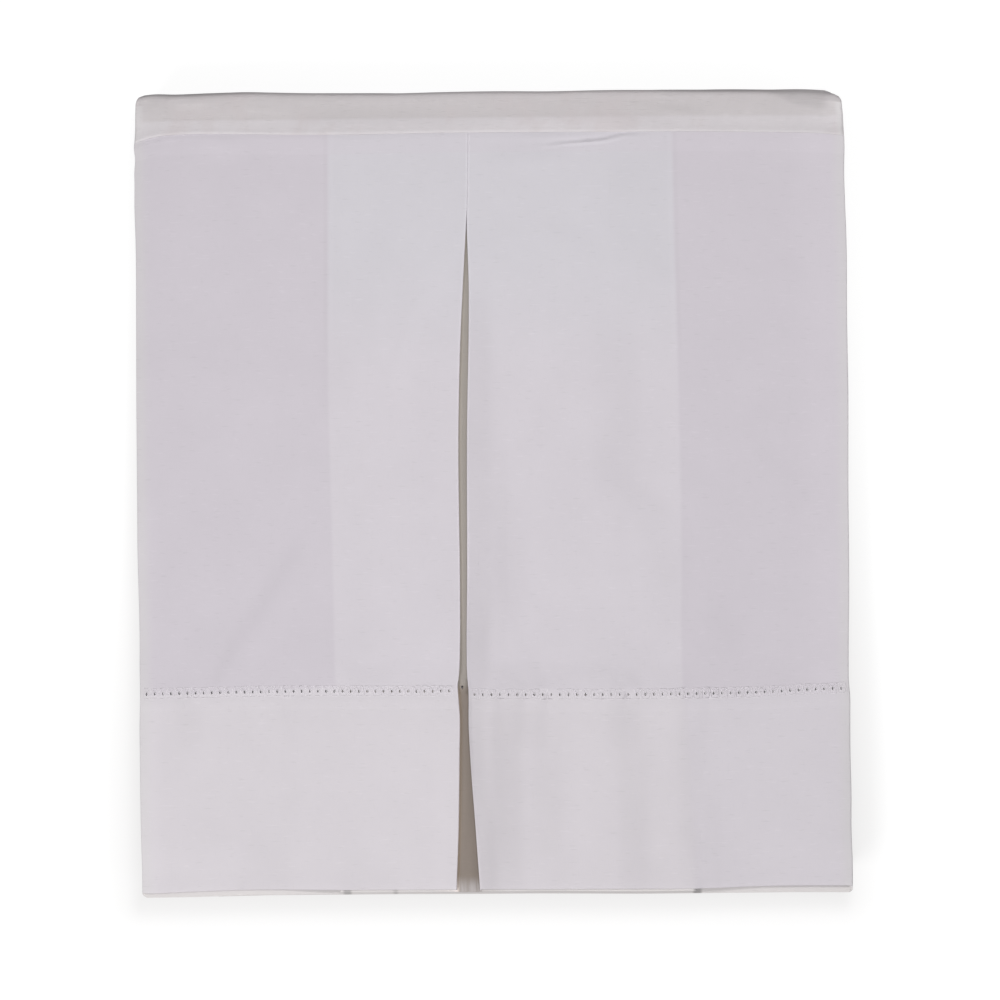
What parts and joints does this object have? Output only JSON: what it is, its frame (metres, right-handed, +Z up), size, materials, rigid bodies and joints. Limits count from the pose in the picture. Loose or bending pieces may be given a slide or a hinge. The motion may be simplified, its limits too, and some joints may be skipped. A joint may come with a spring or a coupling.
{
  "type": "bed skirt",
  "caption": "Bed skirt folded flat: a plain deck in layers, and a foot drop on top with an inverted box pleat and a deep hemstitched hem.",
  "frame": {"origin": "under the middle of the folded skirt, on the surface that it rests on", "axes": "+Z up out of the face of the drop, +Y from the hem to the seam, +X to the right across the folded skirt"},
  "size_m": [0.3552, 0.4008, 0.0292],
  "materials": {
    "face_cloth": "matt plain weave with slight slubs",
    "muslin": "matt plain muslin with crosswise slubs"
  },
  "bodies": {
    "root": {"drop": "face_cloth", "deck": "muslin"}
  },
  "joints": []
}
